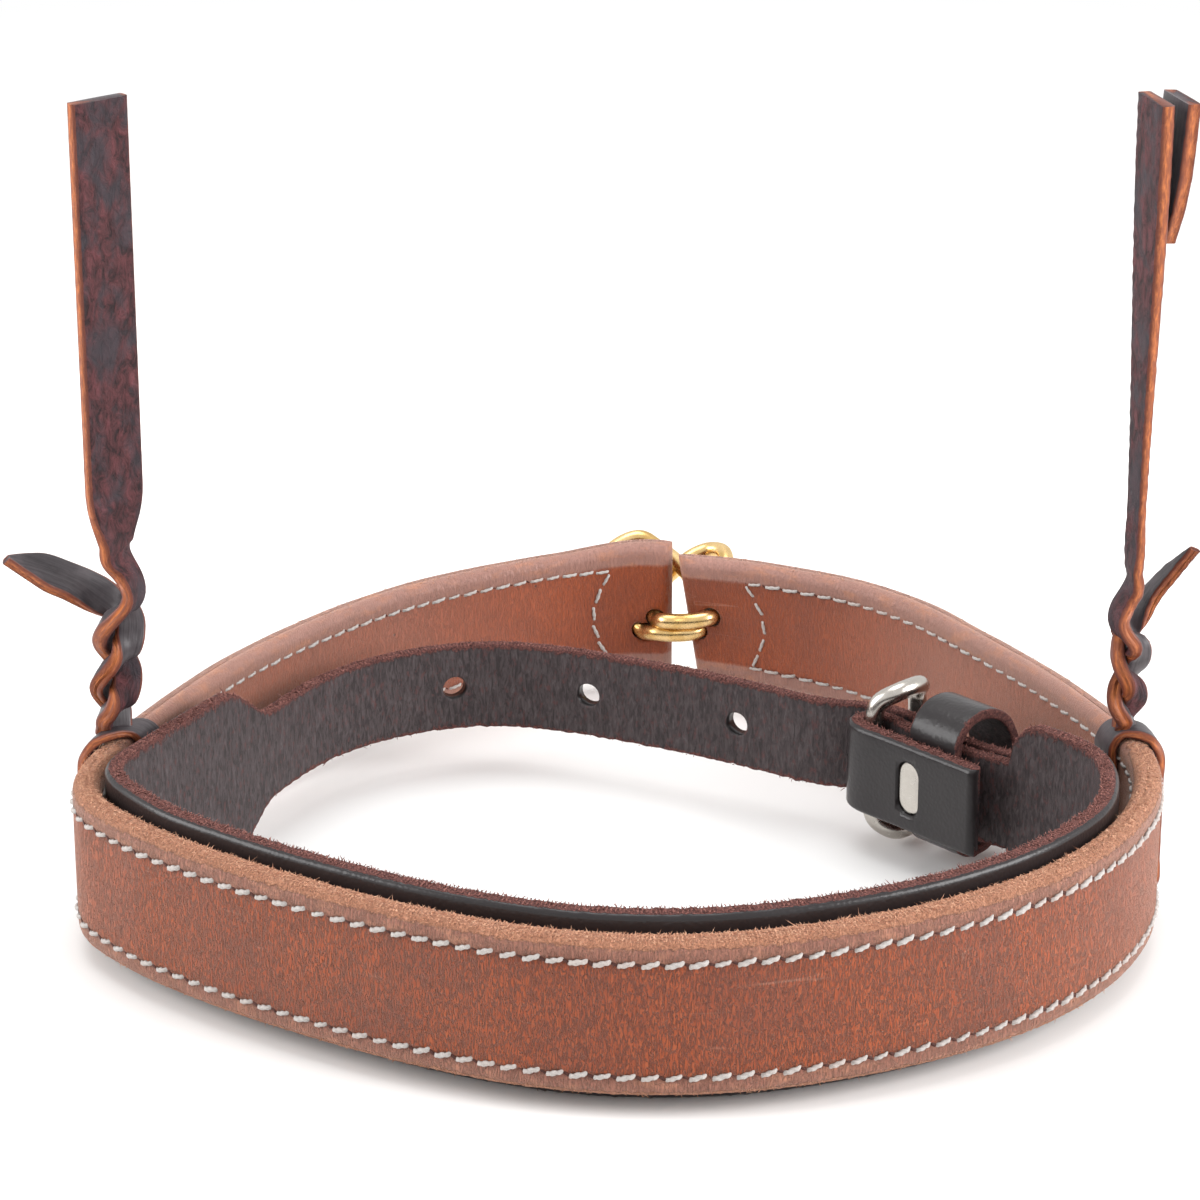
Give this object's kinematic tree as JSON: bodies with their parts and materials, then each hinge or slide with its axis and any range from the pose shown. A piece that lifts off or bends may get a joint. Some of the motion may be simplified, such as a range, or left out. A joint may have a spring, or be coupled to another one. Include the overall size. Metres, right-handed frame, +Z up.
{
  "type": "noseband",
  "caption": "Double leather noseband loop with a black inner strap that buckles inside it, brass rings joining its ends and upright tied hanger straps.",
  "frame": {"origin": "centre of the bounding box on the plane that the lower edge of the lining stands on", "axes": "+Z up along the hanger straps, -Y towards the front of the band, where it lies over the nose, +X to the side of the buckle"},
  "size_m": [0.2249, 0.2052, 0.1531],
  "materials": {
    "band_leather": "waxed russet harness leather, worn pale at the rims",
    "band_inner_leather": "flesh side of the band, smooth russet",
    "liner_leather": "black lining leather, fuzzy burgundy cut edges",
    "latigo_leather": "dark oiled tie leather with orange cut edges",
    "brass": "polished brass wire",
    "nickel": "satin nickel plate"
  },
  "bodies": {
    "noseband": {"band_outer_ply": "band_leather", "band_inner_ply": "band_inner_leather", "liner_wide": "liner_leather", "billet_strap": "liner_leather", "chape_strap": "liner_leather", "keeper_loop": "liner_leather", "chape_stud": "nickel", "hanger_left_loop": "latigo_leather", "hanger_right_loop": "latigo_leather"},
    "ring_left_body": {"ring_left": "brass"},
    "ring_right_body": {"ring_right": "brass"},
    "frame_body": {"buckle_frame": "nickel"},
    "tongue_body": {"buckle_tongue": "nickel"},
    "hanger_left": {"hanger_left_strap": "latigo_leather", "hanger_left_tail": "latigo_leather"},
    "hanger_right": {"hanger_right_strap": "latigo_leather", "hanger_right_tail": "latigo_leather", "hanger_right_second_ply": "latigo_leather"}
  },
  "joints": [
    {"name": "ring_left_swing", "type": "hinge", "parent": "noseband", "child": "ring_left_body", "pos_m": [0.01553, 0.0871, 0.017], "axis": [0.9923, -0.124, 0], "range_deg": [-5, 5]},
    {"name": "ring_right_swing", "type": "hinge", "parent": "noseband", "child": "ring_right_body", "pos_m": [0.01553, 0.0871, 0.017], "axis": [0.9923, -0.124, 0], "range_deg": [-5, 5]},
    {"name": "buckle_rock", "type": "hinge", "parent": "noseband", "child": "frame_body", "pos_m": [0.05228, 0.00965, 0.017], "axis": [0, 0, 1], "range_deg": [-2, 25]},
    {"name": "tongue_turn", "type": "hinge", "parent": "noseband", "child": "tongue_body", "pos_m": [0.05228, 0.00965, 0.017], "axis": [0, 0, 1], "range_deg": [-10, 1]},
    {"name": "hanger_left_swing", "type": "hinge", "parent": "noseband", "child": "hanger_left", "pos_m": [-0.09047, -0.0131, 0.037], "axis": [0.33, 0.944, 0], "range_deg": [-25, 12]},
    {"name": "hanger_right_swing", "type": "hinge", "parent": "noseband", "child": "hanger_right", "pos_m": [0.09693, -0.0131, 0.037], "axis": [-0.2, 0.9798, 0], "range_deg": [-12, 12]}
  ],
  "couplings": [
    {"joint": "ring_right_swing", "follows": "ring_left_swing", "ratio": 1}
  ]
}
